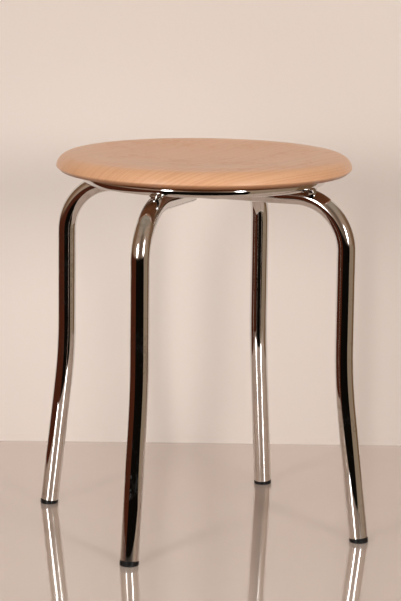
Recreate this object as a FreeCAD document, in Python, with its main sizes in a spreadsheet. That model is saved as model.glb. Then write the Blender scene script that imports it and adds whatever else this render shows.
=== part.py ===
import FreeCAD, Part
import math
import os
import Sketcher

# Stacking stool: a dished round beech seat, a steel ring under it, and two bent steel tubes
# that cross beneath the seat and come down as four legs with black foot caps.
# Lengths are millimetres. Up is +Z, the floor is Z = 0 and the stool's own axis is the Z axis.
# The legs stand on the diagonals and the front of the stool faces -Y.

doc = FreeCAD.newDocument("stacking_stool")
sheet = doc.addObject("Spreadsheet::Sheet", "sizes")

driving_sizes = {
    "seat_height": 450.0,
    "seat_diameter": 350.0,
    "seat_thickness": 20.0,
    "seat_bevel_width": 5.2,
    "seat_bevel_share": 0.24,
    "seat_rim_share": 0.8,
    "seat_rim_centre_share": 0.15,
    "seat_arris_round": 0.7,
    "seat_crest_width": 33.0,
    "seat_lip_radius": 80.0,
    "seat_dish_depth": 6.5,
    "ring_radius": 138.5,
    "ring_tube_diameter": 14.0,
    "ring_tube_wall": 1.5,
    "leg_tube_diameter": 22.0,
    "leg_tube_wall": 1.5,
    "upper_leg_radius": 180.5,
    "foot_radius": 204.5,
    "kink_height": 196.0,
    "kink_bend_radius": 620.0,
    "top_bend_radius": 62.0,
    "lap_clearance": 2.5,
    "lap_transition": 26.0,
    "weld_gap": 0.1,
    "weld_length": 18.0,
    "weld_width": 11.0,
    "weld_height": 6.4,
    "cap_height": 5.5,
    "cap_edge_round": 1.2,
    "cap_plug_length": 20.0,
    "cap_plug_wall": 2.0,
    "cap_rib_height": 1.4,
    "cap_rib_pitch": 4.5,
    "cap_rib_count": 4,
    "cap_clearance": 0.1,
    "lug_thickness": 3.0,
    "lug_width": 20.0,
    "lug_hole_inset": 20.5,
    "lug_hole_diameter": 5.2,
    "screw_diameter": 4.2,
    "screw_length": 15.0,
    "screw_tip_length": 3.5,
    "screw_head_diameter": 8.6,
    "screw_head_height": 2.9,
    "screw_head_round": 1.6,
    "screw_recess_width": 1.2,
    "screw_recess_length": 4.6,
    "screw_recess_depth": 1.7,
    "screw_clearance": 0.1,
    "pilot_spare_depth": 0.5,
}
for row, (alias, value) in enumerate(driving_sizes.items(), start=1):
    sheet.set(f"A{row}", alias.replace("_", " "))
    sheet.set(f"B{row}", str(value))
    sheet.setAlias(f"B{row}", alias)
doc.recompute()

# Places that follow from the driving sizes, as expressions for the document to work out
LEG_TUBE_RADIUS = "(sizes.leg_tube_diameter / 2)"
LEG_BORE_RADIUS = "(sizes.leg_tube_diameter / 2 - sizes.leg_tube_wall)"
RING_TUBE_RADIUS = "(sizes.ring_tube_diameter / 2)"
SEAT_RADIUS = "(sizes.seat_diameter / 2)"
SEAT_CREST_RADIUS = "(sizes.seat_diameter / 2 - sizes.seat_crest_width)"
SEAT_UNDERSIDE = "(sizes.seat_height - sizes.seat_thickness)"
SEAT_BEVEL_HEIGHT = "(sizes.seat_thickness * sizes.seat_bevel_share)"
SEAT_FOOT_RADIUS = f"({SEAT_RADIUS} - sizes.seat_bevel_width)"

# The rim's arc starts at the bevel's top, where it already leans in a little
SEAT_RIM_ARC = "(sizes.seat_thickness * sizes.seat_rim_share)"
SEAT_RIM_LEVEL = "(sizes.seat_thickness * sizes.seat_rim_centre_share)"
SEAT_RIM_CENTRE = (f"({SEAT_RADIUS} - sqrt({SEAT_RIM_ARC} ^ 2"
                   f" - ({SEAT_BEVEL_HEIGHT} - {SEAT_RIM_LEVEL}) ^ 2))")
RING_LEVEL = f"({SEAT_UNDERSIDE} - {RING_TUBE_RADIUS})"
LUG_HOLE_PLACE = "(sizes.ring_radius - sizes.lug_hole_inset)"

# The ring lies on the shoulders of the four top bends, so the ring settles the crossbar's level
BEND_CENTRE_RADIUS = "(sizes.upper_leg_radius - sizes.top_bend_radius)"
RING_OUT_FROM_BEND = f"(sizes.ring_radius - {BEND_CENTRE_RADIUS})"
RING_TO_BEND = f"(sizes.top_bend_radius + {LEG_TUBE_RADIUS} + {RING_TUBE_RADIUS} + sizes.weld_gap)"
BEND_LEVEL = f"({RING_LEVEL} - sqrt({RING_TO_BEND} ^ 2 - {RING_OUT_FROM_BEND} ^ 2))"
CROSSBAR_LEVEL = f"({BEND_LEVEL} + sizes.top_bend_radius)"

# Where the tubes cross, each is pressed to half its height and keeps its girth
LAP_HALF_HEIGHT = f"({LEG_TUBE_RADIUS} / 2)"
LAP_FLAT_WIDTH = f"(pi / 2 * ({LEG_TUBE_RADIUS} - {LAP_HALF_HEIGHT}))"
LAP_HALF_LENGTH = f"({LAP_FLAT_WIDTH} + {LAP_HALF_HEIGHT} + sizes.lap_clearance)"
LAP_END = f"({LAP_HALF_LENGTH} + sizes.lap_transition)"

# The lower leg leans outwards from the kink
SPLAY_RUN = "(sizes.foot_radius - sizes.upper_leg_radius)"
SPLAY_ANGLE = f"atan({SPLAY_RUN} / sizes.kink_height)"
TUBE_END_RADIUS = f"(sizes.foot_radius - {SPLAY_RUN} * sizes.cap_height / sizes.kink_height)"

LEG_ANGLES = {"front_right": -45.0, "back_right": 45.0, "back_left": 135.0, "front_left": 225.0}
LUG_ANGLES = {"right": 0.0, "back": 90.0, "left": 180.0, "front": 270.0}
START, END, CENTRE = range(1, 4)
X_AXIS, Y_AXIS = range(-1, -3, -1)
ORIGIN = (X_AXIS, START)
UP = FreeCAD.Vector(0, 0, 1)
SUBPARTS = []


def number(expression):
    """The present value of an expression, as a plain number."""
    result = sheet.evalExpression(expression)
    return float(getattr(result, "Value", result))


def point(x_expression, y_expression):
    return FreeCAD.Vector(number(x_expression), number(y_expression), 0)


def keep(feature, label):
    """Name a finished sub-part."""
    feature.Label = label
    SUBPARTS.append(feature)
    return feature


def new_body(label):
    return keep(doc.addObject("PartDesign::Body", label), label)


def body_sketch(body, name, plane_role):
    """A sketch on one of the body's own origin planes."""
    sketch = body.newObject("Sketcher::SketchObject", name)
    plane = next(item for item in body.Origin.OriginFeatures if item.Role == plane_role)
    sketch.AttachmentSupport = [(plane, "")]
    sketch.MapMode = "FlatFace"
    return sketch


def bind(sketch, constraint, expression):
    index = sketch.addConstraint(constraint)
    sketch.setExpression(f"Constraints[{index}]", expression)


def pin(sketch, geometry, end, x_expression, y_expression):
    """Hold one point of a sketch at a place worked out from the sheet."""
    place = point(x_expression, y_expression)
    if abs(place.x) < 1e-9:
        sketch.addConstraint(Sketcher.Constraint("PointOnObject", geometry, end, Y_AXIS))
    else:
        across = Sketcher.Constraint("DistanceX", *ORIGIN, geometry, end, place.x)
        bind(sketch, across, x_expression)
    if abs(place.y) < 1e-9:
        sketch.addConstraint(Sketcher.Constraint("PointOnObject", geometry, end, X_AXIS))
    else:
        along = Sketcher.Constraint("DistanceY", *ORIGIN, geometry, end, place.y)
        bind(sketch, along, y_expression)


def add_outline(sketch, corners):
    """A closed outline of straight lines through corners given as pairs of expressions."""
    places = [point(*corner) for corner in corners]
    lines = []
    for first, second in zip(places, places[1:] + places[:1]):
        lines.append(sketch.addGeometry(Part.LineSegment(first, second)))
    for line, following in zip(lines, lines[1:] + lines[:1]):
        sketch.addConstraint(Sketcher.Constraint("Coincident", line, END, following, START))
    for line, corner in zip(lines, corners):
        pin(sketch, line, START, *corner)
    return lines


def add_circle(sketch, x_expression, y_expression, radius_expression):
    centre = point(x_expression, y_expression)
    radius = number(radius_expression)
    circle = sketch.addGeometry(Part.Circle(centre, UP, radius))
    bind(sketch, Sketcher.Constraint("Radius", circle, radius), radius_expression)
    pin(sketch, circle, CENTRE, x_expression, y_expression)
    return circle


def add_arc(sketch, centre, start, end):
    """An arc from start round to end, anticlockwise about centre."""
    from_centre = start - centre
    to_end = end - centre
    first = math.atan2(from_centre.y, from_centre.x)
    last = math.atan2(to_end.y, to_end.x)
    circle = Part.Circle(centre, UP, from_centre.Length)
    return sketch.addGeometry(Part.ArcOfCircle(circle, first, last))


def revolve(body, name, sketch):
    feature = body.newObject("PartDesign::Revolution", name)
    feature.Profile = sketch
    feature.ReferenceAxis = (sketch, ["V_Axis"])
    feature.Angle = 360
    return feature


def polar_copies(body, name, feature, count):
    """Equal copies of a feature round the body's Z axis."""
    axis = next(item for item in body.Origin.OriginFeatures if item.Role == "Z_Axis")
    pattern = body.newObject("PartDesign::PolarPattern", name)
    pattern.Originals = [feature]
    pattern.Axis = (axis, [""])
    pattern.Angle = 360
    pattern.Occurrences = count
    body.Tip = pattern
    return pattern


def turned_about_axis(angle):
    return FreeCAD.Placement(FreeCAD.Vector(0, 0, 0), FreeCAD.Rotation(UP, angle))


# Seat: one round blank, bevelled below, with a rounded rim, a raised crest and a shallow dish

def make_seat():
    body = new_body("seat")
    body.setExpression("Placement.Base.z", SEAT_UNDERSIDE)
    sketch = body_sketch(body, "seat_profile", "XZ_Plane")

    crest_radius = number(SEAT_CREST_RADIUS)
    thickness = number("sizes.seat_thickness")
    lip_radius = number("sizes.seat_lip_radius")
    dish_depth = number("sizes.seat_dish_depth")

    # The rim's tight arc runs into the crown's wide arc, which is level at the crest
    rim_centre = point(SEAT_RIM_CENTRE, SEAT_RIM_LEVEL)
    rim_radius = number(SEAT_RIM_ARC)
    crest_point = FreeCAD.Vector(crest_radius, thickness, 0)
    to_rim = rim_centre - crest_point
    crown_radius = (to_rim.Length ** 2 - rim_radius ** 2) / (-2 * (to_rim.y + rim_radius))
    crown_centre = crest_point - FreeCAD.Vector(0, crown_radius, 0)
    shared_point = rim_centre + (rim_centre - crown_centre).normalize() * rim_radius

    # The lip rolls over into the dish, tangent to it
    dish_radius = (crest_radius ** 2 + dish_depth ** 2) / (2 * dish_depth) - lip_radius
    lip_centre = FreeCAD.Vector(crest_radius, thickness - lip_radius, 0)
    dish_centre = FreeCAD.Vector(0, thickness - dish_depth + dish_radius, 0)
    towards_dish = (dish_centre - lip_centre).normalize()
    roll_point = lip_centre + towards_dish * lip_radius
    dish_bottom = FreeCAD.Vector(0, thickness - dish_depth, 0)

    foot = point(SEAT_FOOT_RADIUS, "0")
    arris = point(SEAT_RADIUS, SEAT_BEVEL_HEIGHT)
    axis_foot = FreeCAD.Vector(0, 0, 0)
    underside = sketch.addGeometry(Part.LineSegment(axis_foot, foot))
    bevel = sketch.addGeometry(Part.LineSegment(foot, arris))
    rim = add_arc(sketch, rim_centre, arris, shared_point)
    crown = add_arc(sketch, crown_centre, shared_point, crest_point)
    lip = add_arc(sketch, lip_centre, crest_point, roll_point)
    dish = add_arc(sketch, dish_centre, dish_bottom, roll_point)
    axis = sketch.addGeometry(Part.LineSegment(dish_bottom, axis_foot))

    pin(sketch, underside, START, "0", "0")
    pin(sketch, bevel, START, SEAT_FOOT_RADIUS, "0")
    pin(sketch, bevel, END, SEAT_RADIUS, SEAT_BEVEL_HEIGHT)
    pin(sketch, rim, CENTRE, SEAT_RIM_CENTRE, SEAT_RIM_LEVEL)
    pin(sketch, crown, END, SEAT_CREST_RADIUS, "sizes.seat_thickness")
    pin(sketch, dish, START, "0", "sizes.seat_thickness - sizes.seat_dish_depth")
    sketch.addConstraint(Sketcher.Constraint("Coincident", underside, END, bevel, START))
    sketch.addConstraint(Sketcher.Constraint("Coincident", bevel, END, rim, START))
    sketch.addConstraint(Sketcher.Constraint("Tangent", rim, END, crown, START))
    sketch.addConstraint(Sketcher.Constraint("Coincident", crown, END, lip, START))
    sketch.addConstraint(Sketcher.Constraint("Vertical", crown, END, crown, CENTRE))
    sketch.addConstraint(Sketcher.Constraint("Vertical", lip, START, lip, CENTRE))
    sketch.addConstraint(Sketcher.Constraint("Tangent", lip, END, dish, END))
    sketch.addConstraint(Sketcher.Constraint("PointOnObject", dish, CENTRE, Y_AXIS))
    sketch.addConstraint(Sketcher.Constraint("Coincident", dish, START, axis, START))
    sketch.addConstraint(Sketcher.Constraint("Coincident", axis, END, underside, START))
    bind(sketch, Sketcher.Constraint("Radius", lip, lip_radius), "sizes.seat_lip_radius")
    blank = revolve(body, "seat_blank", sketch)
    doc.recompute()

    # Both edges of the bevel are eased
    girths = [2 * math.pi * corner.x for corner in (foot, arris)]
    sharp_edges = [
        f"Edge{index}" for index, edge in enumerate(blank.Shape.Edges, start=1)
        if min(abs(edge.Length - girth) for girth in girths) < 1e-6
    ]
    assert len(sharp_edges) == len(girths), "the bevel's edges were not found"
    eased = body.newObject("PartDesign::Fillet", "seat_edges_eased")
    eased.Base = (blank, sharp_edges)
    eased.setExpression("Radius", "sizes.seat_arris_round")
    doc.recompute()
    blank_volume = body.Shape.Volume

    # Blind pilot holes for the seat screws, from below
    hole_sketch = body_sketch(body, "pilot_hole_place", "XY_Plane")
    hole_radius = "sizes.screw_diameter / 2 + sizes.screw_clearance"
    add_circle(hole_sketch, LUG_HOLE_PLACE, "0", hole_radius)
    hole = body.newObject("PartDesign::Pocket", "pilot_hole")
    hole.Profile = hole_sketch
    hole.Reversed = True
    depth = "sizes.screw_length - sizes.lug_thickness + sizes.pilot_spare_depth"
    hole.setExpression("Length", depth)
    polar_copies(body, "pilot_holes", hole, len(LUG_ANGLES))
    doc.recompute()
    removed = blank_volume - body.Shape.Volume
    expected = len(LUG_ANGLES) * math.pi * number(hole_radius) ** 2 * number(depth)
    assert abs(removed - expected) < 0.01 * expected, "the pilot holes cut the wrong volume"


# Leg frames: each is one round steel tube, bent four times and pressed flat at its middle

def make_leg_spine():
    """The centreline of one leg, from the foot cap up and in to where the pressing starts."""
    spine = doc.addObject("Sketcher::SketchObject", "leg_spine")
    upright = FreeCAD.Rotation(FreeCAD.Vector(1, 0, 0), 90)
    spine.Placement = FreeCAD.Placement(FreeCAD.Vector(0, 0, 0), upright)

    splay = math.radians(number(SPLAY_ANGLE))
    upper_radius = number("sizes.upper_leg_radius")
    kink_radius = number("sizes.kink_bend_radius")
    bend_radius = number("sizes.top_bend_radius")
    tube_end = point(TUBE_END_RADIUS, "sizes.cap_height")
    kink_corner = point("sizes.upper_leg_radius", "sizes.kink_height")
    kink_reach = kink_radius * math.tan(splay / 2)
    outwards_down = FreeCAD.Vector(math.sin(splay), -math.cos(splay), 0)
    kink_start = kink_corner + outwards_down * kink_reach
    kink_end = kink_corner + FreeCAD.Vector(0, kink_reach, 0)
    kink_centre = kink_end + FreeCAD.Vector(kink_radius, 0, 0)
    bend_centre = point(BEND_CENTRE_RADIUS, BEND_LEVEL)
    bend_start = FreeCAD.Vector(upper_radius, bend_centre.y, 0)
    bend_end = FreeCAD.Vector(bend_centre.x, bend_centre.y + bend_radius, 0)
    lap_end = point(LAP_END, CROSSBAR_LEVEL)

    lower = spine.addGeometry(Part.LineSegment(tube_end, kink_start))
    kink = spine.addGeometry(Part.ArcOfCircle(
        Part.Circle(kink_centre, UP, kink_radius), math.pi, math.pi + splay))
    upper = spine.addGeometry(Part.LineSegment(kink_end, bend_start))
    bend = add_arc(spine, bend_centre, bend_start, bend_end)
    crossbar = spine.addGeometry(Part.LineSegment(bend_end, lap_end))

    pin(spine, lower, START, TUBE_END_RADIUS, "sizes.cap_height")
    pin(spine, bend, CENTRE, BEND_CENTRE_RADIUS, BEND_LEVEL)
    pin(spine, crossbar, END, LAP_END, CROSSBAR_LEVEL)
    spine.addConstraint(Sketcher.Constraint("Tangent", lower, END, kink, END))
    spine.addConstraint(Sketcher.Constraint("Tangent", kink, START, upper, START))
    lean = Sketcher.Constraint("Angle", lower, math.pi / 2 + splay)
    bind(spine, lean, f"90 deg + {SPLAY_ANGLE}")
    spine.addConstraint(Sketcher.Constraint("Vertical", upper))
    spine.addConstraint(Sketcher.Constraint("Tangent", upper, END, bend, START))
    spine.addConstraint(Sketcher.Constraint("Tangent", bend, END, crossbar, START))
    bind(spine, Sketcher.Constraint("Radius", kink, kink_radius), "sizes.kink_bend_radius")
    bind(spine, Sketcher.Constraint("Radius", bend, bend_radius), "sizes.top_bend_radius")
    return spine


def make_lap_section(name, reach, half_height, flat_width, middle):
    """One cross-section of the pressed middle: two flats and two round sides."""
    section = doc.addObject("Sketcher::SketchObject", name)
    across_the_tube = FreeCAD.Rotation(FreeCAD.Vector(1, 1, 1), 120)
    section.Placement = FreeCAD.Placement(FreeCAD.Vector(0, 0, 0), across_the_tube)
    section.setExpression("Placement.Base.x", reach)
    section.setExpression("Placement.Base.z", CROSSBAR_LEVEL)
    half_flat = f"({flat_width} / 2)"
    top = f"({middle} + {half_height})"
    bottom = f"({middle} - {half_height})"
    top_left = point(f"-{half_flat}", top)
    top_right = point(half_flat, top)
    low_left = point(f"-{half_flat}", bottom)
    low_right = point(half_flat, bottom)
    left_middle = point(f"-{half_flat}", middle)
    right_middle = point(half_flat, middle)
    low = section.addGeometry(Part.LineSegment(low_left, low_right))
    right = add_arc(section, right_middle, low_right, top_right)
    high = section.addGeometry(Part.LineSegment(top_right, top_left))
    left = add_arc(section, left_middle, top_left, low_left)
    for flat, side, following in ((low, right, high), (high, left, low)):
        section.addConstraint(Sketcher.Constraint("Tangent", flat, END, side, START))
        section.addConstraint(Sketcher.Constraint("Coincident", side, END, following, START))
    pin(section, low, START, f"-{half_flat}", bottom)
    pin(section, low, END, half_flat, bottom)
    pin(section, high, START, half_flat, top)
    pin(section, high, END, f"-{half_flat}", top)
    return section


def make_round_section(name, reach, radius):
    """The round tube's section in four quarter arcs, one for each side of the pressed section."""
    section = doc.addObject("Sketcher::SketchObject", name)
    across_the_tube = FreeCAD.Rotation(FreeCAD.Vector(1, 1, 1), 120)
    section.Placement = FreeCAD.Placement(FreeCAD.Vector(0, 0, 0), across_the_tube)
    section.setExpression("Placement.Base.x", reach)
    section.setExpression("Placement.Base.z", CROSSBAR_LEVEL)
    corner = f"({radius} * sqrt(0.5))"
    signs = [("-", "-"), ("", "-"), ("", ""), ("-", "")]
    corners = [(f"{across}{corner}", f"{up}{corner}") for across, up in signs]
    centre = FreeCAD.Vector(0, 0, 0)
    arcs = []
    for first, second in zip(corners, corners[1:] + corners[:1]):
        arcs.append(add_arc(section, centre, point(*first), point(*second)))
    axes = [X_AXIS, Y_AXIS, X_AXIS, Y_AXIS]
    for arc, following, first, axis in zip(arcs, arcs[1:] + arcs[:1], corners, axes):
        section.addConstraint(Sketcher.Constraint("Coincident", arc, END, following, START))
        section.addConstraint(Sketcher.Constraint("PointOnObject", arc, CENTRE, axis))
        pin(section, arc, START, *first)
    return section


def make_tube_form(prefix, spine, radius, lap_half_height, lap_middle):
    """A solid rod of the given radius that follows a whole leg frame."""
    section = doc.addObject("Part::Circle", prefix + "_section")
    section.setExpression("Radius", radius)
    lean = FreeCAD.Rotation(FreeCAD.Vector(0, 1, 0), -number(SPLAY_ANGLE))
    section.Placement = FreeCAD.Placement(FreeCAD.Vector(0, 0, 0), lean)
    section.setExpression("Placement.Base.x", TUBE_END_RADIUS)
    section.setExpression("Placement.Base.z", "sizes.cap_height")
    leg = doc.addObject("Part::Sweep", prefix + "_leg")
    leg.Sections = [section]
    leg.Spine = (spine, [f"Edge{index}" for index in range(1, spine.GeometryCount + 1)])
    leg.Solid = True
    leg.Frenet = False
    other_leg = doc.addObject("Part::Mirroring", prefix + "_other_leg")
    other_leg.Source = leg
    other_leg.Normal = FreeCAD.Vector(1, 0, 0)

    lap = doc.addObject("Part::Loft", prefix + "_lap")
    stations = []
    for side, sign in (("right", ""), ("left", "-")):
        flat = make_lap_section(f"{prefix}_lap_{side}", f"{sign}{LAP_HALF_LENGTH}",
                                lap_half_height, LAP_FLAT_WIDTH, lap_middle)
        full = make_round_section(f"{prefix}_round_{side}", f"{sign}{LAP_END}", radius)
        stations.append((full, flat))
    lap.Sections = [stations[0][0], stations[0][1], stations[1][1], stations[1][0]]
    lap.Solid = True
    lap.Ruled = True
    form = doc.addObject("Part::MultiFuse", prefix + "_form")
    form.Shapes = [leg, lap, other_leg]
    return form


def make_leg_frame(label, angle, side_of_lap, spine):
    """A whole frame. side_of_lap is "" for the tube that crosses above and "-" for the other."""
    lap_middle = f"{side_of_lap}{LAP_HALF_HEIGHT}"
    bore_half_height = f"({LAP_HALF_HEIGHT} - sizes.leg_tube_wall)"
    outside = make_tube_form(label + "_outside", spine, LEG_TUBE_RADIUS, LAP_HALF_HEIGHT,
                             lap_middle)
    bore = make_tube_form(label + "_bore", spine, LEG_BORE_RADIUS, bore_half_height, lap_middle)
    frame = doc.addObject("Part::Cut", label)
    frame.Base = outside
    frame.Tool = bore
    frame.Placement = turned_about_axis(angle)
    return keep(frame, label)


# Support ring: a bent steel tube closed on itself and welded to the four shoulders

def make_support_ring():
    outside = doc.addObject("Part::Torus", "ring_outside")
    outside.setExpression("Radius1", "sizes.ring_radius")
    outside.setExpression("Radius2", RING_TUBE_RADIUS)
    outside.setExpression("Placement.Base.z", RING_LEVEL)
    bore = doc.addObject("Part::Torus", "ring_bore")
    bore.setExpression("Radius1", "sizes.ring_radius")
    bore.setExpression("Radius2", f"{RING_TUBE_RADIUS} - sizes.ring_tube_wall")
    bore.setExpression("Placement.Base.z", RING_LEVEL)

    # A weld bead lies round each touching point, where the ring meets the shoulder of a bend
    tilt = math.asin(number(RING_OUT_FROM_BEND) / number(RING_TO_BEND))
    reach = number("sizes.top_bend_radius") + number(LEG_TUBE_RADIUS)
    touch_radius = number(BEND_CENTRE_RADIUS) + reach * math.sin(tilt)
    touch_level = number(BEND_LEVEL) + reach * math.cos(tilt)
    lean = FreeCAD.Rotation(FreeCAD.Vector(0, 1, 0), math.degrees(tilt))
    on_edge = FreeCAD.Rotation(FreeCAD.Vector(1, 0, 0), 90)
    added = [outside]
    shoulders = []
    for name, angle in LEG_ANGLES.items():
        turned = turned_about_axis(angle)
        bead = doc.addObject("Part::Ellipsoid", "bead_" + name)
        bead.setExpression("Radius1", "sizes.weld_height / 2")
        bead.setExpression("Radius2", "sizes.weld_width / 2")
        bead.setExpression("Radius3", "sizes.weld_length / 2")
        touch = FreeCAD.Vector(touch_radius, 0, touch_level)
        bead.Placement = turned.multiply(FreeCAD.Placement(touch, lean))
        added.append(bead)
        shoulder = doc.addObject("Part::Torus", "shoulder_" + name)
        shoulder.setExpression("Radius1", "sizes.top_bend_radius")
        shoulder.setExpression("Radius2", f"{LEG_TUBE_RADIUS} + sizes.weld_gap")
        centre = FreeCAD.Vector(number(BEND_CENTRE_RADIUS), 0, number(BEND_LEVEL))
        shoulder.Placement = turned.multiply(FreeCAD.Placement(centre, on_edge))
        shoulders.append(shoulder)
    welded = doc.addObject("Part::MultiFuse", "ring_with_beads")
    welded.Shapes = added
    all_shoulders = doc.addObject("Part::MultiFuse", "ring_shoulders")
    all_shoulders.Shapes = shoulders
    clear_of_legs = doc.addObject("Part::Cut", "ring_clear_of_legs")
    clear_of_legs.Base = welded
    clear_of_legs.Tool = all_shoulders
    ring = doc.addObject("Part::Cut", "support_ring")
    ring.Base = clear_of_legs
    ring.Tool = bore
    return keep(ring, "support_ring")


# Seat lugs: flat steel tabs inside the ring, flush with its top, each with one screw hole

def make_seat_lug(name, angle):
    body = new_body("seat_lug_" + name)
    body.Placement = turned_about_axis(angle)
    body.setExpression("Placement.Base.z", SEAT_UNDERSIDE)
    sketch = body_sketch(body, f"lug_{name}_plan", "XY_Plane")
    half_width = "(sizes.lug_width / 2)"
    inner_right = point(LUG_HOLE_PLACE, f"-{half_width}")
    inner_left = point(LUG_HOLE_PLACE, half_width)
    outer_right = point("sizes.ring_radius", f"-{half_width}")
    outer_left = point("sizes.ring_radius", half_width)
    right_side = sketch.addGeometry(Part.LineSegment(inner_right, outer_right))
    outer_end = sketch.addGeometry(Part.LineSegment(outer_right, outer_left))
    left_side = sketch.addGeometry(Part.LineSegment(outer_left, inner_left))
    nose = add_arc(sketch, point(LUG_HOLE_PLACE, "0"), inner_left, inner_right)
    for edge, following in ((right_side, outer_end), (outer_end, left_side), (nose, right_side)):
        sketch.addConstraint(Sketcher.Constraint("Coincident", edge, END, following, START))
    sketch.addConstraint(Sketcher.Constraint("Tangent", left_side, END, nose, START))
    pin(sketch, right_side, START, LUG_HOLE_PLACE, f"-{half_width}")
    pin(sketch, outer_end, START, "sizes.ring_radius", f"-{half_width}")
    pin(sketch, outer_end, END, "sizes.ring_radius", half_width)
    pin(sketch, left_side, END, LUG_HOLE_PLACE, half_width)
    add_circle(sketch, LUG_HOLE_PLACE, "0", "sizes.lug_hole_diameter / 2")
    plate = body.newObject("PartDesign::Pad", f"lug_{name}_plate")
    plate.Profile = sketch
    plate.Reversed = True
    plate.setExpression("Length", "sizes.lug_thickness")
    doc.recompute()
    plate_volume = body.Shape.Volume

    # The outer end is hollowed to fit the ring's tube
    ring_sketch = body_sketch(body, f"lug_{name}_ring_section", "XZ_Plane")
    hollow_radius = f"{RING_TUBE_RADIUS} + sizes.weld_gap"
    add_circle(ring_sketch, "sizes.ring_radius", f"-{RING_TUBE_RADIUS}", hollow_radius)
    hollow = body.newObject("PartDesign::Groove", f"lug_{name}_hollow")
    hollow.Profile = ring_sketch
    hollow.ReferenceAxis = (ring_sketch, ["V_Axis"])
    hollow.Angle = 360
    doc.recompute()
    assert body.Shape.Volume < plate_volume, "the ring's hollow cuts nothing from the lug"


# Seat screws: four pan-head wood screws up through the lugs into the seat

def make_seat_screws():
    body = new_body("seat_screws")
    body.AllowCompound = True
    body.setExpression("Placement.Base.z", f"{SEAT_UNDERSIDE} - sizes.lug_thickness")
    sketch = body_sketch(body, "screw_profile", "XZ_Plane")
    place = LUG_HOLE_PLACE
    shank = f"{place} + sizes.screw_diameter / 2"
    head = f"{place} + sizes.screw_head_diameter / 2"
    shoulder_drop = "-(sizes.screw_head_height - sizes.screw_head_round)"
    face_edge = f"{head} - sizes.screw_head_round"
    corners = [
        (place, "-sizes.screw_head_height"),
        (face_edge, "-sizes.screw_head_height"),
        (head, shoulder_drop),
        (head, "0"),
        (shank, "0"),
        (shank, "sizes.screw_length - sizes.screw_tip_length"),
        (place, "sizes.screw_length"),
    ]
    lines = add_outline(sketch, corners)
    turned = body.newObject("PartDesign::Revolution", "screw_turned")
    turned.Profile = sketch
    turned.ReferenceAxis = (sketch, [f"Edge{lines[-1] + 1}"])
    turned.Angle = 360
    doc.recompute()
    turned_volume = body.Shape.Volume

    recess_sketch = body_sketch(body, "screw_recess_plan", "XY_Plane")
    recess_sketch.setExpression("AttachmentOffset.Base.z", "-sizes.screw_head_height")
    half_length = "sizes.screw_recess_length / 2"
    half_width = "sizes.screw_recess_width / 2"
    corners = []
    for across, up in ((1, 1), (-1, 1), (-1, -1), (1, -1)):
        near = [(f"{place} + {across} * {half_length}", f"{up} * {half_width}"),
                (f"{place} + {across} * {half_width}", f"{up} * {half_width}"),
                (f"{place} + {across} * {half_width}", f"{up} * {half_length}")]
        if across == up:
            corners += near
        else:
            corners += near[::-1]
    add_outline(recess_sketch, corners)
    recess = body.newObject("PartDesign::Pocket", "screw_recess")
    recess.Profile = recess_sketch
    recess.Reversed = True
    recess.setExpression("Length", "sizes.screw_recess_depth")
    polar_copies(body, "all_screws", turned, len(LUG_ANGLES)).Originals = [turned, recess]
    doc.recompute()
    assert body.Shape.Volume < len(LUG_ANGLES) * turned_volume, "the recess cuts nothing"
    assert len(body.Shape.Solids) == len(LUG_ANGLES), "a seat screw is missing"


# Foot caps: moulded black plugs, ribbed inside the tube, with a collar that stands on the floor

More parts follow.
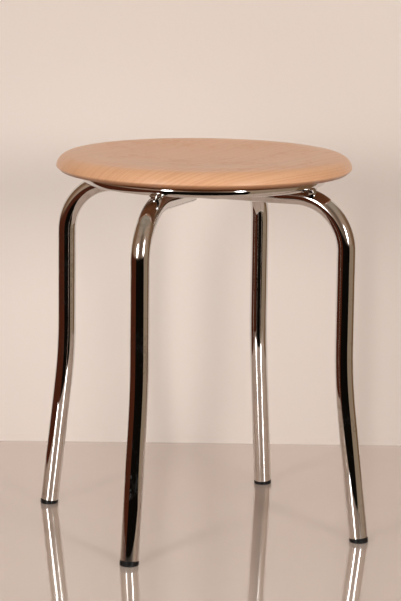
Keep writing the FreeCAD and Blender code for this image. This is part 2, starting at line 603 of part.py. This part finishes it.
def make_foot_cap(name, angle):
    body = new_body("foot_cap_" + name)
    lean = FreeCAD.Rotation(FreeCAD.Vector(0, 1, 0), -number(SPLAY_ANGLE))
    foot_place = FreeCAD.Placement(FreeCAD.Vector(number("sizes.foot_radius"), 0, 0), lean)
    body.Placement = turned_about_axis(angle).multiply(foot_place)

    # Along the cap's own axis, the tube ends a little further up than the cap is high
    tube_end = f"(sizes.cap_height / cos({SPLAY_ANGLE}))"
    plug_top = f"({tube_end} + sizes.cap_plug_length)"
    plug_radius = f"({LEG_BORE_RADIUS} - sizes.cap_clearance - sizes.cap_rib_height)"
    hollow_radius = f"({plug_radius} - sizes.cap_plug_wall)"
    core = body_sketch(body, f"cap_{name}_profile", "XZ_Plane")
    add_outline(core, [
        ("0", f"-{LEG_TUBE_RADIUS}"),
        (LEG_TUBE_RADIUS, f"-{LEG_TUBE_RADIUS}"),
        (LEG_TUBE_RADIUS, tube_end),
        (plug_radius, tube_end),
        (plug_radius, plug_top),
        (hollow_radius, plug_top),
        (hollow_radius, tube_end),
        ("0", tube_end),
    ])
    revolve(body, f"cap_{name}_core", core)

    rib_foot = f"({tube_end} + sizes.cap_rib_pitch / 2)"
    rib = body_sketch(body, f"cap_{name}_rib_profile", "XZ_Plane")
    buried = f"({plug_radius} - sizes.cap_plug_wall / 2)"
    add_outline(rib, [
        (buried, rib_foot),
        (f"{LEG_BORE_RADIUS} - sizes.cap_clearance", rib_foot),
        (buried, f"{rib_foot} + 2 * sizes.cap_rib_height"),
    ])
    first_rib = revolve(body, f"cap_{name}_rib", rib)
    axis = next(item for item in body.Origin.OriginFeatures if item.Role == "Z_Axis")
    ribs = body.newObject("PartDesign::LinearPattern", f"cap_{name}_ribs")
    ribs.Originals = [first_rib]
    ribs.Direction = (axis, [""])
    ribs.setExpression("Length", "sizes.cap_rib_pitch * (sizes.cap_rib_count - 1)")
    ribs.setExpression("Occurrences", "sizes.cap_rib_count")
    body.Tip = ribs
    doc.recompute()
    whole_volume = body.Shape.Volume

    # The floor cuts the leaning collar level
    floor_cut = body_sketch(body, f"cap_{name}_floor_line", "XZ_Plane")
    reach = "sizes.leg_tube_diameter"
    rise = f"({reach} * tan({SPLAY_ANGLE}))"
    add_outline(floor_cut, [
        (f"-{reach}", rise),
        (f"-{reach}", f"-{reach}"),
        (reach, f"-{reach}"),
        (reach, f"-{rise}"),
    ])
    levelled = body.newObject("PartDesign::Pocket", f"cap_{name}_levelled")
    levelled.Profile = floor_cut
    levelled.Midplane = True
    levelled.setExpression("Length", "2 * sizes.leg_tube_diameter")
    doc.recompute()
    assert body.Shape.Volume < whole_volume, "the floor cuts nothing from the foot cap"

    splay = math.radians(number(SPLAY_ANGLE))
    floor_normal = FreeCAD.Vector(math.sin(splay), 0, math.cos(splay))
    floor_edges = [
        f"Edge{index}" for index, edge in enumerate(levelled.Shape.Edges, start=1)
        if abs(edge.CenterOfMass * floor_normal) < 1e-4
    ]
    rounded = body.newObject("PartDesign::Fillet", f"cap_{name}_rounded")
    rounded.Base = (levelled, floor_edges)
    rounded.setExpression("Radius", "sizes.cap_edge_round")


make_seat()
leg_spine = make_leg_spine()
make_leg_frame("leg_frame_over", LEG_ANGLES["back_right"], "", leg_spine)
make_leg_frame("leg_frame_under", LEG_ANGLES["back_left"], "-", leg_spine)
make_support_ring()
for lug_name, lug_angle in LUG_ANGLES.items():
    make_seat_lug(lug_name, lug_angle)
make_seat_screws()
for foot_name, foot_angle in LEG_ANGLES.items():
    make_foot_cap(foot_name, foot_angle)
doc.recompute()

for item in doc.Objects:
    if "Invalid" in item.State or "Error" in item.State:
        raise RuntimeError(f"{item.Label} did not compute: {item.State}")
    if item.TypeId == "Sketcher::SketchObject" and not item.FullyConstrained:
        raise RuntimeError(f"{item.Label} is not held by its constraints")
for subpart in SUBPARTS:
    if subpart.Shape.isNull() or not subpart.Shape.isValid():
        raise RuntimeError(f"{subpart.Label} has no valid shape")

os.makedirs("parts", exist_ok=True)
for subpart in SUBPARTS:
    subpart.Shape.exportStep(f"parts/{subpart.Label}.step")
    bounds = subpart.Shape.BoundBox
    print(f"{subpart.Label}: {len(subpart.Shape.Solids)} solid(s), "
          f"{subpart.Shape.Volume / 1000:.2f} cm3, z {bounds.ZMin:.2f} to {bounds.ZMax:.2f}")
print(f"crossbar level {number(CROSSBAR_LEVEL):.2f}, splay {number(SPLAY_ANGLE):.2f} degrees")
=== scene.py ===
import math

import bmesh
import bpy
from mathutils import Matrix, Vector


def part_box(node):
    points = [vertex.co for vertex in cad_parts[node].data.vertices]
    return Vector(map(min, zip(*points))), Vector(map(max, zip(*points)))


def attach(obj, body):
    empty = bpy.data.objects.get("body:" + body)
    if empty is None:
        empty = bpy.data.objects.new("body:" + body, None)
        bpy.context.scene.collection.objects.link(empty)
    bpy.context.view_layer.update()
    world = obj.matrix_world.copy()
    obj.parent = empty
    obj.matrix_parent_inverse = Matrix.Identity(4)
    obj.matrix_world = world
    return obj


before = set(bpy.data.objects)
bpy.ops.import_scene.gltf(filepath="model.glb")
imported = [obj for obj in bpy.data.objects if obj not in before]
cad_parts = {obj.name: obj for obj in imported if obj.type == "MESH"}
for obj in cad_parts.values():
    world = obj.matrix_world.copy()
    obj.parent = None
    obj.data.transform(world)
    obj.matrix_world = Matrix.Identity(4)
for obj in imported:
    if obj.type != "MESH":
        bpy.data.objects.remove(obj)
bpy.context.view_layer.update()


# Leg frames
# Two steel tubes of 22 mm, each bent four times, pressed flat where they cross under the seat,
# then polished and chromed. The plating is bright, with faint polishing lines along the legs
# and a little dullness where hands and shoes touch it.

def add_node(tree, kind, inputs=None, **settings):
    """A shader node. Each input is a plain value or another node's output."""
    node = tree.nodes.new("ShaderNode" + kind)
    for name, value in settings.items():
        setattr(node, name, value)
    for name, value in (inputs or {}).items():
        if isinstance(value, bpy.types.NodeSocket):
            tree.links.new(value, node.inputs[name])
        else:
            node.inputs[name].default_value = value
    return node


def calculate(tree, operation, *values):
    return add_node(tree, "Math", dict(enumerate(values)), operation=operation).outputs[0]


def blend_colours(tree, amount, first, second):
    mix = add_node(tree, "Mix", {0: amount, 6: first, 7: second}, data_type="RGBA")
    return mix.outputs[2]


def noise(tree, place, scale, detail, distortion=0.0):
    return add_node(tree, "TexNoise", {"Vector": place, "Scale": scale, "Detail": detail,
                                       "Distortion": distortion}).outputs[0]


def fade(tree, value, start, end, low=0.0, high=1.0, soft=True):
    """From low, where the value is at its start, to high, where it is at its end."""
    return add_node(tree, "MapRange", {"Value": value, "From Min": start, "From Max": end,
                                       "To Min": low, "To Max": high},
                    interpolation_type="SMOOTHSTEP" if soft else "LINEAR").outputs[0]


def set_roughness(tree, shader, marks, clean, dull):
    """Roughness that follows a mask from 0, where clean, to 1, where dull."""
    tree.links.new(fade(tree, marks, 0.0, 1.0, clean, dull, soft=False), shader["Roughness"])


def set_bump(tree, shader, height, strength, distance):
    bump = add_node(tree, "Bump", {"Height": height, "Strength": strength,
                                   "Distance": distance})
    tree.links.new(bump.outputs[0], shader["Normal"])


def new_group(name, given, result):
    """A node group with number inputs, each at its usual value, and one number output."""
    group = bpy.data.node_groups.new(name, "ShaderNodeTree")
    for socket_name, value in given.items():
        socket = group.interface.new_socket(name=socket_name, in_out="INPUT",
                                            socket_type="NodeSocketFloat")
        socket.default_value = value
    group.interface.new_socket(name=result, in_out="OUTPUT", socket_type="NodeSocketFloat")
    inside = group.nodes.new("NodeGroupInput").outputs
    outside = group.nodes.new("NodeGroupOutput").inputs
    return group, inside, outside[result]


def place_group(tree, group, **values):
    """A group in a material, with that material's own values."""
    return add_node(tree, "Group", values, node_tree=group).outputs[0]


def new_material(name):
    material = bpy.data.materials.new(name)
    material.use_nodes = True
    tree = material.node_tree
    return material, tree, tree.nodes["Principled BSDF"].inputs


def finish_node(node_name, material):
    """Gives a CAD node its finish."""
    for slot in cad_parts[node_name].material_slots:
        slot.material = material


def build_handling_marks():
    """Soft patches left by hands and wiping: 0 where clean, 1 where dull."""
    group, given, result = new_group("handling_marks", {"size": 0.05, "cover": 0.5}, "marks")
    place = add_node(group, "TexCoord").outputs["Object"]
    patch_scale = calculate(group, "DIVIDE", 1.0, given["size"])
    wipe_scale = calculate(group, "MULTIPLY", patch_scale, 7.0)
    patches = noise(group, place, patch_scale, 3.0)
    wipes = noise(group, place, wipe_scale, 2.0, distortion=1.2)
    both = calculate(group, "MULTIPLY", patches, wipes)
    clean = calculate(group, "MULTIPLY_ADD", given["cover"], -0.3, 0.4)
    dull = calculate(group, "ADD", clean, 0.15)
    group.links.new(fade(group, both, clean, dull), result)
    return group


def build_fine_lines():
    """Hairlines that run up and down, as a height from 0 to 1."""
    group, given, result = new_group("fine_lines", {"spacing": 0.0008, "length": 0.04}, "height")
    place = add_node(group, "TexCoord").outputs["Object"]
    parts = add_node(group, "SeparateXYZ", {0: place}).outputs
    stretched = add_node(group, "CombineXYZ", {
        0: calculate(group, "DIVIDE", parts[0], given["spacing"]),
        1: calculate(group, "DIVIDE", parts[1], given["spacing"]),
        2: calculate(group, "DIVIDE", parts[2], given["length"]),
    }).outputs[0]
    group.links.new(noise(group, stretched, 1.0, 2.0), result)
    return group


handling_marks = build_handling_marks()
fine_lines = build_fine_lines()


def chrome_finish(name, patch_size, cover):
    """Bright nickel and chrome plating over polished steel."""
    material, tree, shader = new_material(name)
    bright = (0.76, 0.745, 0.73, 1.0)
    dull = (0.66, 0.64, 0.61, 1.0)
    marks = place_group(tree, handling_marks, size=patch_size, cover=cover)
    tree.links.new(blend_colours(tree, marks, bright, dull), shader["Base Color"])
    set_roughness(tree, shader, marks, 0.035, 0.12)
    lines = place_group(tree, fine_lines, spacing=0.0006, length=0.03)
    set_bump(tree, shader, lines, 0.03, 0.0002)
    shader["Metallic"].default_value = 1.0
    return material


tube_chrome = chrome_finish("tube_chrome", 0.07, 0.45)
for leg_frame in ("leg_frame_over", "leg_frame_under"):
    finish_node(leg_frame, tube_chrome)


# Support ring
# A 14 mm steel tube rolled to a ring and welded to the shoulders of the four top bends. It is
# chromed together with the legs, and the weld beads stay rippled under the plating.

ring_chrome = chrome_finish("ring_chrome", 0.04, 0.5)
finish_node("support_ring", ring_chrome)

ring_radius = 0.1385
ring_tube_radius = 0.007
leg_tube_radius = 0.011
top_bend_radius = 0.062
bend_centre_radius = 0.1185
weld_gap = 0.0001
seat_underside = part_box("seat")[0].z
ring_level = seat_underside - ring_tube_radius
leg_angles = {"front_right": -45, "back_right": 45, "back_left": 135, "front_left": 225}

weld_half_length = 0.0091
weld_half_width = 0.0056
weld_half_height = 0.0033
weld_ripples = 7
weld_ripple_height = 0.03


def make_weld_bead(name, angle):
    """A long rounded bead with a ripple for each step of the weld."""
    out_from_bend = ring_radius - bend_centre_radius
    between_centres = top_bend_radius + leg_tube_radius + ring_tube_radius + weld_gap
    tilt = math.asin(out_from_bend / between_centres)
    bend_level = ring_level - between_centres * math.cos(tilt)
    reach = top_bend_radius + leg_tube_radius
    touch = Vector((bend_centre_radius + reach * math.sin(tilt), 0.0,
                    bend_level + reach * math.cos(tilt)))
    along_steps = 72
    round_steps = 20
    mesh = bmesh.new()
    rows = []
    for i in range(1, along_steps):
        turn = math.pi * i / along_steps
        girth = math.sin(turn) * (1.0 + weld_ripple_height * math.cos(turn * weld_ripples) ** 2)
        row = []
        for j in range(round_steps):
            round_turn = 2.0 * math.pi * j / round_steps
            row.append(mesh.verts.new((weld_half_width * girth * math.cos(round_turn),
                                       weld_half_length * math.cos(turn),
                                       weld_half_height * girth * math.sin(round_turn))))
        rows.append(row)
    ends = [mesh.verts.new((0.0, side * weld_half_length, 0.0)) for side in (1.0, -1.0)]
    for near, far in zip(rows, rows[1:]):
        for j in range(round_steps):
            k = (j + 1) % round_steps
            mesh.faces.new((near[j], near[k], far[k], far[j]))
    for end, row in zip(ends, (rows[0], rows[-1])):
        for j in range(round_steps):
            mesh.faces.new((end, row[j], row[(j + 1) % round_steps]))
    bmesh.ops.recalc_face_normals(mesh, faces=mesh.faces[:])
    bead_mesh = bpy.data.meshes.new(name)
    mesh.to_mesh(bead_mesh)
    mesh.free()
    bead_mesh.transform(Matrix.Rotation(math.radians(angle), 4, "Z")
                        @ Matrix.Translation(touch) @ Matrix.Rotation(tilt, 4, "Y"))
    bead_mesh.shade_smooth()
    bead = bpy.data.objects.new(name, bead_mesh)
    bpy.context.scene.collection.objects.link(bead)
    bead.data.materials.append(ring_chrome)
    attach(bead, "root")


for leg_name, leg_angle in leg_angles.items():
    make_weld_bead("weld_bead_" + leg_name, leg_angle)


# Seat lugs
# Four flat steel tabs that carry the seat, welded inside the ring between the legs. Each has one
# screw hole, and they are chromed together with the ring.

lug_chrome = chrome_finish("lug_chrome", 0.02, 0.6)
for side in ("right", "back", "left", "front"):
    finish_node("seat_lug_" + side, lug_chrome)


# Seat
# One round beech blank, turned to a rounded rim, a raised crest, a shallow dish and a bevel
# below, with a clear satin lacquer, and painted shade in dark red-brown on its underside. The
# grain runs from the front left to the back right, so the rim shows slanted rings of end grain at
# its front left.

def beech_finish():
    material, tree, shader = new_material("satin_beech")
    light_wood = (0.73, 0.40, 0.225, 1.0)
    dark_wood = (0.695, 0.37, 0.20, 1.0)
    late_wood = (0.61, 0.30, 0.15, 1.0)
    fleck_wood = (0.50, 0.24, 0.12, 1.0)
    # Painted shade: a dark red-brown for the underside and lower bevel, where little light
    # reaches
    underside_shade_colour = (0.26, 0.10, 0.035, 1.0)
    grain_direction = math.radians(36.0)
    pith_across = -0.19
    pith_level = 0.24
    ring_width = 0.0045
    ring_wander = 0.012
    ring_unevenness = 1.6
    fleck_strength = 0.35
    shade_full_level = seat_underside + 0.0004
    shade_end_level = seat_underside + 0.0056

    # Along the grain, across it, and up
    place = add_node(tree, "TexCoord").outputs["Object"]
    turned = add_node(tree, "Mapping", {"Vector": place,
                                        "Rotation": (0.0, 0.0, -grain_direction)}).outputs[0]
    along, across, up = add_node(tree, "SeparateXYZ", {0: turned}).outputs

    # Year rings about the pith of the trunk, unevenly wide and a little wavy along the grain
    slow = add_node(tree, "Mapping", {"Vector": turned, "Scale": (3.0, 12.0, 12.0)}).outputs[0]
    wander = noise(tree, slow, 1.0, 2.0)
    drifted = calculate(tree, "MULTIPLY_ADD", wander, ring_wander,
                        calculate(tree, "SUBTRACT", across, pith_across))
    from_pith = add_node(tree, "CombineXYZ", {
        0: drifted, 1: calculate(tree, "SUBTRACT", up, pith_level)}).outputs[0]
    distance = add_node(tree, "VectorMath", {0: from_pith}, operation="LENGTH").outputs["Value"]
    rings = calculate(tree, "DIVIDE", distance, ring_width)
    uneven = add_node(tree, "TexNoise", {"W": rings, "Scale": 0.6, "Detail": 1.0},
                      noise_dimensions="1D").outputs[0]
    uneven_rings = calculate(tree, "MULTIPLY_ADD", uneven, ring_unevenness, rings)
    phase = calculate(tree, "FRACT", uneven_rings)
    strength = fade(tree, wander, 0.3, 0.7, 0.25, 0.75, soft=False)
    late = calculate(tree, "MULTIPLY", fade(tree, phase, 0.35, 0.95), strength)

    # Rays show as short flecks along the grain, and as dots in the end grain
    close = add_node(tree, "Mapping", {"Vector": turned,
                                       "Scale": (320.0, 1700.0, 900.0)}).outputs[0]
    flecks = fade(tree, noise(tree, close, 1.0, 1.0), 0.6, 0.72)

    # Slow streaks of lighter and darker wood, then the rings, then the flecks
    streak_place = add_node(tree, "Mapping", {"Vector": turned,
                                              "Scale": (2.5, 30.0, 30.0)}).outputs[0]
    streaks = noise(tree, streak_place, 1.0, 3.0)
    ground = blend_colours(tree, streaks, light_wood, dark_wood)
    ringed = blend_colours(tree, late, ground, late_wood)
    flecked = blend_colours(tree, calculate(tree, "MULTIPLY", flecks, fleck_strength),
                            ringed, fleck_wood)

    # Painted shade: dark red-brown covers the underside and thins out up the bevel
    level = add_node(tree, "SeparateXYZ", {0: place}).outputs[2]
    underside_shade = fade(tree, level, shade_end_level, shade_full_level)
    tree.links.new(blend_colours(tree, underside_shade, flecked, underside_shade_colour), shader["Base Color"])

    marks = place_group(tree, handling_marks, size=0.09, cover=0.5)
    set_roughness(tree, shader, marks, 0.36, 0.5)
    height = calculate(tree, "MULTIPLY_ADD", flecks, -0.6, calculate(tree, "MULTIPLY", late, 0.4))
    set_bump(tree, shader, height, 0.12, 0.0002)
    shader["Coat Weight"].default_value = 0.2
    shader["Coat Roughness"].default_value = 0.28
    shader["Specular IOR Level"].default_value = 0.3
    return material


finish_node("seat", beech_finish())


# Seat screws
# Four pan-head wood screws of steel, driven up through the lugs into the seat. Their zinc
# plating is dull and faintly spangled.

def zinc_finish():
    material, tree, shader = new_material("zinc_steel")
    light_zinc = (0.66, 0.66, 0.64, 1.0)
    dark_zinc = (0.50, 0.51, 0.50, 1.0)
    place = add_node(tree, "TexCoord").outputs["Object"]
    spangle = noise(tree, place, 900.0, 2.0)
    tree.links.new(blend_colours(tree, spangle, light_zinc, dark_zinc), shader["Base Color"])
    set_roughness(tree, shader, spangle, 0.28, 0.45)
    set_bump(tree, shader, spangle, 0.1, 0.0001)
    shader["Metallic"].default_value = 1.0
    return material


finish_node("seat_screws", zinc_finish())


# Foot caps
# Four black plastic plugs pressed into the tube ends. Their collars are moulded semi-gloss,
# scuffed grey and a little dusty where they stand on the floor.

def cap_finish():
    material, tree, shader = new_material("black_plastic")
    black = (0.008, 0.008, 0.008, 1.0)
    scuffed = (0.05, 0.047, 0.044, 1.0)
    scuff_height = 0.0022
    place = add_node(tree, "TexCoord").outputs["Object"]
    up = add_node(tree, "SeparateXYZ", {0: place}).outputs[2]
    low = fade(tree, up, scuff_height, 0.0, soft=False)
    marks = place_group(tree, handling_marks, size=0.006, cover=0.8)
    scuff = calculate(tree, "MULTIPLY", low, marks)
    tree.links.new(blend_colours(tree, scuff, black, scuffed), shader["Base Color"])
    set_roughness(tree, shader, marks, 0.26, 0.42)
    set_bump(tree, shader, noise(tree, place, 1400.0, 2.0), 0.12, 0.0002)
    shader["Specular IOR Level"].default_value = 0.22
    return material


cap_plastic = cap_finish()
for foot in leg_angles:
    finish_node("foot_cap_" + foot, cap_plastic)


# Studio floor and backdrop
# A pale glossy floor and a plain pale wall close behind the stool, with a faint painted glow on
# the wall. Each is seen from the stool's side only, so that they hide nothing from behind or from
# below.

view_turn = math.radians(-21.925)
towards_view = Vector((math.sin(view_turn), -math.cos(view_turn), 0.0))
across_view = Vector((math.cos(view_turn), math.sin(view_turn), 0.0))
wall_distance = 0.40
wall_half_width = 0.65
wall_height = 1.5
# Where the painted glow on the wall is centred, how far it spreads and how bright it is
glow_centre_level = 0.20
glow_centre_left = 0.13
glow_core_radius = 0.05
glow_outer_radius = 0.45
painted_glow_strength = 0.10
floor_half_width = 6.0


def add_stage(name, corners, faces, material):
    mesh = bpy.data.meshes.new(name)
    mesh.from_pydata(corners, [], faces)
    mesh.materials.append(material)
    piece = bpy.data.objects.new(name, mesh)
    bpy.context.scene.collection.objects.link(piece)
    return piece


def make_one_sided(tree):
    """Nothing is seen of the surface from its back."""
    mix = add_node(tree, "MixShader", {
        0: add_node(tree, "NewGeometry").outputs["Backfacing"],
        1: tree.nodes["Principled BSDF"].outputs[0],
        2: add_node(tree, "BsdfTransparent").outputs[0]})
    tree.links.new(mix.outputs[0], tree.nodes["Material Output"].inputs["Surface"])


floor_paint, tree, shader = new_material("floor_paint")
shader["Base Color"].default_value = (0.61, 0.48, 0.40, 1.0)
shader["Roughness"].default_value = 0.05
shader["Coat Weight"].default_value = 1.0
shader["Coat Roughness"].default_value = 0.04
make_one_sided(tree)
add_stage("floor", [(x * floor_half_width, y * floor_half_width, 0.0)
                    for x, y in ((-1, -1), (1, -1), (1, 1), (-1, 1))],
          [(0, 1, 2, 3)], floor_paint)

wall_paint, tree, shader = new_material("wall_paint")
shader["Base Color"].default_value = (0.76, 0.655, 0.585, 1.0)
shader["Roughness"].default_value = 0.7
place = add_node(tree, "TexCoord").outputs["Object"]
set_bump(tree, shader, noise(tree, place, 60.0, 4.0), 0.15, 0.002)

# Painted light: the wall glows a little paler behind the legs, to the eye and in metal, and
# lights nothing
wall_foot = -towards_view * wall_distance
glow_centre = Vector((0.0, 0.0, glow_centre_level)) + wall_foot - across_view * glow_centre_left
from_glow_centre = add_node(tree, "VectorMath", {0: place, 1: glow_centre},
                       operation="DISTANCE").outputs["Value"]
painted_glow = fade(tree, from_glow_centre, glow_core_radius, glow_outer_radius, painted_glow_strength, 0.0)
ray = add_node(tree, "LightPath").outputs
seen_directly = calculate(tree, "MAXIMUM", ray["Is Camera Ray"], ray["Is Glossy Ray"])
seen_at_all = calculate(tree, "MAXIMUM", seen_directly, ray["Is Transmission Ray"])
tree.links.new(calculate(tree, "MULTIPLY", painted_glow, seen_at_all), shader["Emission Strength"])
shader["Emission Color"].default_value = (1.0, 0.92, 0.86, 1.0)
make_one_sided(tree)
wall_corners = [wall_foot + across_view * wall_half_width * side + Vector((0.0, 0.0, height))
                for side, height in ((-1, 0.0), (1, 0.0), (1, wall_height), (-1, wall_height))]
add_stage("wall", wall_corners, [(0, 1, 2, 3)], wall_paint)


# Studio screens
# What the polished metal mirrors beyond the edge of the pale floor: low screens that are black
# in front, brown at the left and grey at the right, and fade out at their upper edges.

pale_front = 0.355
pale_back = 0.40
pale_left = 0.45
pale_right = 0.75
screen_radius = 3.0
screen_solid_height = 0.22
screen_height = 0.55
screen_lift = 0.002
screen_step = 3.0


def around(turn, distance, height):
    """A place at a turn from the view's direction, to the right of it where positive."""
    return ((towards_view * math.cos(turn) + across_view * math.sin(turn)) * distance
            + Vector((0.0, 0.0, height)))


def pale_edge(turn):
    """How far the pale floor reaches at a turn."""
    deep = pale_front if math.cos(turn) > 0.0 else pale_back
    wide = pale_right if math.sin(turn) > 0.0 else pale_left
    reach = [screen_radius]
    if abs(math.cos(turn)) > 1e-6:
        reach.append(deep / abs(math.cos(turn)))
    if abs(math.sin(turn)) > 1e-6:
        reach.append(wide / abs(math.sin(turn)))
    return min(reach)


def add_screen(name, first_turn, last_turn, colour):
    """One screen with the ground before it, which only polished surfaces see."""
    paint = bpy.data.materials.new(name)
    paint.use_nodes = True
    tree = paint.node_tree
    place = add_node(tree, "TexCoord").outputs["Object"]
    level = add_node(tree, "SeparateXYZ", {0: place}).outputs[2]
    glow = add_node(tree, "MixShader", {
        0: fade(tree, level, screen_solid_height, screen_height),
        1: add_node(tree, "Emission", {"Color": colour}).outputs[0],
        2: add_node(tree, "BsdfTransparent").outputs[0]})
    tree.links.new(glow.outputs[0], tree.nodes["Material Output"].inputs["Surface"])
    steps = max(1, round((last_turn - first_turn) / screen_step))
    corners = []
    for i in range(steps + 1):
        turn = math.radians(first_turn + (last_turn - first_turn) * i / steps)
        corners += [around(turn, pale_edge(turn), screen_lift),
                    around(turn, screen_radius, screen_lift),
                    around(turn, screen_radius, screen_height)]
    faces = []
    for i in range(steps):
        for j in (0, 1):
            near = 3 * i + j
            faces.append((near, near + 1, near + 4, near + 3))
    screen = add_stage(name, corners, faces, paint)
    screen.visible_camera = False
    screen.visible_diffuse = False
    screen.visible_transmission = False
    screen.visible_shadow = False


add_screen("black_screen", -38.0, 42.0, (0.004, 0.003, 0.002, 1.0))
add_screen("brown_screen", -122.0, -38.0, (0.07, 0.018, 0.008, 1.0))
add_screen("grey_screen", 42.0, 95.0, (0.30, 0.22, 0.15, 1.0))
add_screen("tan_screen", 95.0, 122.0, (0.18, 0.10, 0.05, 1.0))


# Studio light
# Even light from all round, and two tall soft lamps in front, left and right of the view. Each
# lamp is brightest in its middle and fades out to its edges, so that its mirror image is soft.

lamp_turn = 33.0
lamp_distance = 2.9
lamp_level = 1.00
lamp_aim_level = 0.35
lamp_size = (0.70, 1.50)
lamp_power = 29.0
lamp_side_edge = 0.5
lamp_end_edge = 0.45
lamp_middle = 1.7
lamp_focus = 1.6


def add_lamp(name, turn):
    data = bpy.data.lights.new(name, "AREA")
    data.shape = "RECTANGLE"
    data.size, data.size_y = lamp_size
    data.energy = lamp_power
    data.use_nodes = True
    tree = data.node_tree
    place = add_node(tree, "NewGeometry").outputs["Parametric"]
    across, along = add_node(tree, "SeparateXYZ", {0: place}).outputs[:2]
    fades = [fade(tree, calculate(tree, "PINGPONG", way, 0.5), 0.0, soft_edge, 0.0, lamp_middle)
             for way, soft_edge in ((across, lamp_side_edge), (along, lamp_end_edge))]
    strength = calculate(tree, "POWER", calculate(tree, "MULTIPLY", *fades), lamp_focus)
    tree.links.new(strength, tree.nodes["Emission"].inputs["Strength"])
    lamp = bpy.data.objects.new(name, data)
    lamp.location = around(math.radians(turn), lamp_distance, lamp_level)
    aim = Vector((0.0, 0.0, lamp_aim_level)) - lamp.location
    lamp.rotation_euler = aim.to_track_quat("-Z", "Y").to_euler()
    bpy.context.scene.collection.objects.link(lamp)


add_lamp("left_lamp", -lamp_turn)
add_lamp("right_lamp", lamp_turn)

world = bpy.data.worlds.new("studio")
bpy.context.scene.world = world
world.use_nodes = True
tree = world.node_tree
ray = add_node(tree, "LightPath").outputs
soft_light = (0.59, 0.58, 0.565, 1.0)
ceiling = (0.33, 0.27, 0.21, 1.0)
backdrop = (0.78, 0.69, 0.63, 1.0)
dim = (0.15, 0.10, 0.07, 1.0)
warm = (0.40, 0.28, 0.20, 1.0)
brown = (0.20, 0.11, 0.06, 1.0)
pale = (0.60, 0.50, 0.44, 1.0)

# The metal mirrors four plain tones that blend from the front of the stool round to its back
direction = add_node(tree, "TexCoord").outputs["Generated"]
level_part = add_node(tree, "VectorMath", {0: direction, 1: (1.0, 1.0, 0.0)},
                      operation="MULTIPLY")
heading = add_node(tree, "VectorMath", {0: level_part.outputs[0]}, operation="NORMALIZE")
ahead_share = add_node(tree, "VectorMath", {0: heading.outputs[0], 1: towards_view},
                       operation="DOT_PRODUCT").outputs["Value"]
turn = calculate(tree, "ARCCOSINE", ahead_share)
tone = dim
for next_tone, first_turn, last_turn in ((warm, 5.0, 30.0), (brown, 60.0, 95.0),
                                         (pale, 125.0, 165.0)):
    step = fade(tree, turn, math.radians(first_turn), math.radians(last_turn))
    tone = blend_colours(tree, step, tone, next_tone)
steepness = add_node(tree, "SeparateXYZ", {0: direction}).outputs[2]
around_it = blend_colours(tree, fade(tree, steepness, 0.5, 0.9), tone, ceiling)
seen_in_metal = blend_colours(tree, ray["Is Glossy Ray"], soft_light, around_it)
seen = blend_colours(tree, ray["Is Camera Ray"], seen_in_metal, backdrop)
tree.links.new(seen, tree.nodes["Background"].inputs["Color"])


# Camera
# It stands at chest height about three metres away, a little left of the stool's front, and
# looks slightly down on the seat.

camera_distance = 2.91516
camera_height = 0.81021
aim_height = 0.27276
camera_pan = 0.00086
camera_roll = 0.01207
lens_millimetres = 148.62

camera_place = towards_view * camera_distance + Vector((0.0, 0.0, camera_height))
ahead = (Vector((0.0, 0.0, aim_height)) - camera_place).normalized()
ahead = Matrix.Rotation(camera_pan, 3, "Z") @ ahead
level_right = ahead.cross(Vector((0.0, 0.0, 1.0))).normalized()
level_up = level_right.cross(ahead)
right = level_right * math.cos(camera_roll) + level_up * math.sin(camera_roll)
up = level_up * math.cos(camera_roll) - level_right * math.sin(camera_roll)
facing = Matrix((right, up, -ahead)).transposed().to_4x4()
camera_data = bpy.data.cameras.new("camera")
camera_data.lens = lens_millimetres
camera = bpy.data.objects.new("camera", camera_data)
camera.matrix_world = Matrix.Translation(camera_place) @ facing
bpy.context.scene.collection.objects.link(camera)
bpy.context.scene.camera = camera
bpy.context.scene.view_settings.view_transform = "Standard"
